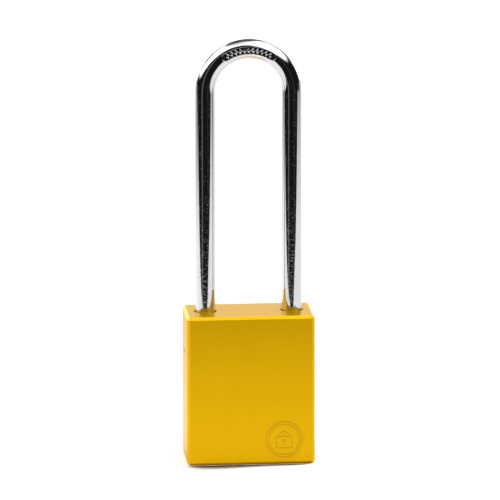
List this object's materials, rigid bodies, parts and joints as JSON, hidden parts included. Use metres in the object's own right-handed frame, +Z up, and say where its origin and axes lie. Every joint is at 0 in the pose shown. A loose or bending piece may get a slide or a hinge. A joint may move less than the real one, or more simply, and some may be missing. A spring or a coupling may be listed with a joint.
{
  "type": "safety padlock",
  "caption": "Solid-bodied safety padlock with a long round shackle, a keyed lock cylinder and ball locking.",
  "frame": {"origin": "centre of the case's bottom face", "axes": "+Z up along the shackle's legs, +X to the toe leg (the one that opens), +Y to the back"},
  "size_m": [0.038, 0.019, 0.127],
  "materials": {
    "anodised_gold": "satin gold anodising",
    "chrome_rod": "bright chrome plate",
    "brass_shell": "machined brass",
    "brass_plug": "machined brass",
    "brass_pins": "turned brass",
    "sheet_steel": "rolled",
    "spring_steel": "drawn wire",
    "washer_steel": "ground",
    "cam_steel": "sintered",
    "black_screw": "black oxide",
    "pin_steel": "dark",
    "ball_steel": "polished"
  },
  "bodies": {
    "case": {"case": "anodised_gold", "cylinder_shell": "brass_shell", "spring_cover": "sheet_steel", "retaining_screw": "black_screw", "heel_stop_pin": "pin_steel", "shackle_spring": "spring_steel", "pin_spring_1": "spring_steel", "pin_spring_2": "spring_steel", "pin_spring_3": "spring_steel", "pin_spring_4": "spring_steel", "pin_spring_5": "spring_steel", "pin_spring_6": "spring_steel"},
    "shackle": {"shackle": "chrome_rod"},
    "plug": {"plug": "brass_plug", "plug_clip": "spring_steel", "thrust_washer": "washer_steel", "locking_cam": "cam_steel"},
    "toe_ball": {"toe_ball": "ball_steel"},
    "heel_ball": {"heel_ball": "ball_steel"},
    "key_pin_1": {"key_pin_1": "brass_pins"},
    "driver_pin_1": {"driver_pin_1": "brass_pins"},
    "key_pin_2": {"key_pin_2": "brass_pins"},
    "driver_pin_2": {"driver_pin_2": "brass_pins"},
    "key_pin_3": {"key_pin_3": "brass_pins"},
    "driver_pin_3": {"driver_pin_3": "brass_pins"},
    "key_pin_4": {"key_pin_4": "brass_pins"},
    "driver_pin_4": {"driver_pin_4": "brass_pins"},
    "key_pin_5": {"key_pin_5": "brass_pins"},
    "driver_pin_5": {"driver_pin_5": "brass_pins"},
    "key_pin_6": {"key_pin_6": "brass_pins"},
    "driver_pin_6": {"driver_pin_6": "brass_pins"}
  },
  "joints": [
    {"name": "shackle_lift", "type": "slide", "parent": "case", "child": "shackle", "axis": [0, 0, 1], "range_m": [0, 0.0158], "deforming": ["shackle_spring"]},
    {"name": "plug_turn", "type": "hinge", "parent": "case", "child": "plug", "pos_m": [0, 0, 0.012], "axis": [0, 0, 1], "range_deg": [-90, 0]},
    {"name": "toe_ball_slide", "type": "slide", "parent": "case", "child": "toe_ball", "axis": [1, 0, 0], "range_m": [0, 0.00165]},
    {"name": "heel_ball_slide", "type": "slide", "parent": "case", "child": "heel_ball", "axis": [-1, 0, 0], "range_m": [0, 0.00165]},
    {"name": "key_pin_1_drop", "type": "slide", "parent": "plug", "child": "key_pin_1", "axis": [0, 1, 0], "range_m": [-0.0023, 0]},
    {"name": "driver_pin_1_push", "type": "slide", "parent": "case", "child": "driver_pin_1", "axis": [1, 0, 0], "range_m": [0, 0.0022], "stiffness_N_per_m": 150, "springref_m": -0.003, "deforming": ["pin_spring_1"]},
    {"name": "key_pin_2_drop", "type": "slide", "parent": "plug", "child": "key_pin_2", "axis": [0, 1, 0], "range_m": [-0.0016, 0]},
    {"name": "driver_pin_2_push", "type": "slide", "parent": "case", "child": "driver_pin_2", "axis": [1, 0, 0], "range_m": [0, 0.0022], "stiffness_N_per_m": 150, "springref_m": -0.003, "deforming": ["pin_spring_2"]},
    {"name": "key_pin_3_drop", "type": "slide", "parent": "plug", "child": "key_pin_3", "axis": [0, 1, 0], "range_m": [-0.002, 0]},
    {"name": "driver_pin_3_push", "type": "slide", "parent": "case", "child": "driver_pin_3", "axis": [1, 0, 0], "range_m": [0, 0.0022], "stiffness_N_per_m": 150, "springref_m": -0.003, "deforming": ["pin_spring_3"]},
    {"name": "key_pin_4_drop", "type": "slide", "parent": "plug", "child": "key_pin_4", "axis": [0, 1, 0], "range_m": [-0.0012, 0]},
    {"name": "driver_pin_4_push", "type": "slide", "parent": "case", "child": "driver_pin_4", "axis": [1, 0, 0], "range_m": [0, 0.0022], "stiffness_N_per_m": 150, "springref_m": -0.003, "deforming": ["pin_spring_4"]},
    {"name": "key_pin_5_drop", "type": "slide", "parent": "plug", "child": "key_pin_5", "axis": [0, 1, 0], "range_m": [-0.0026, 0]},
    {"name": "driver_pin_5_push", "type": "slide", "parent": "case", "child": "driver_pin_5", "axis": [1, 0, 0], "range_m": [0, 0.0022], "stiffness_N_per_m": 150, "springref_m": -0.003, "deforming": ["pin_spring_5"]},
    {"name": "key_pin_6_drop", "type": "slide", "parent": "plug", "child": "key_pin_6", "axis": [0, 1, 0], "range_m": [-0.0019, 0]},
    {"name": "driver_pin_6_push", "type": "slide", "parent": "case", "child": "driver_pin_6", "axis": [1, 0, 0], "range_m": [0, 0.0022], "stiffness_N_per_m": 150, "springref_m": -0.003, "deforming": ["pin_spring_6"]}
  ],
  "couplings": [
    {"joint": "toe_ball_slide", "follows": "plug_turn", "m_per_rad": -0.0010504},
    {"joint": "heel_ball_slide", "follows": "plug_turn", "m_per_rad": -0.0010504}
  ]
}
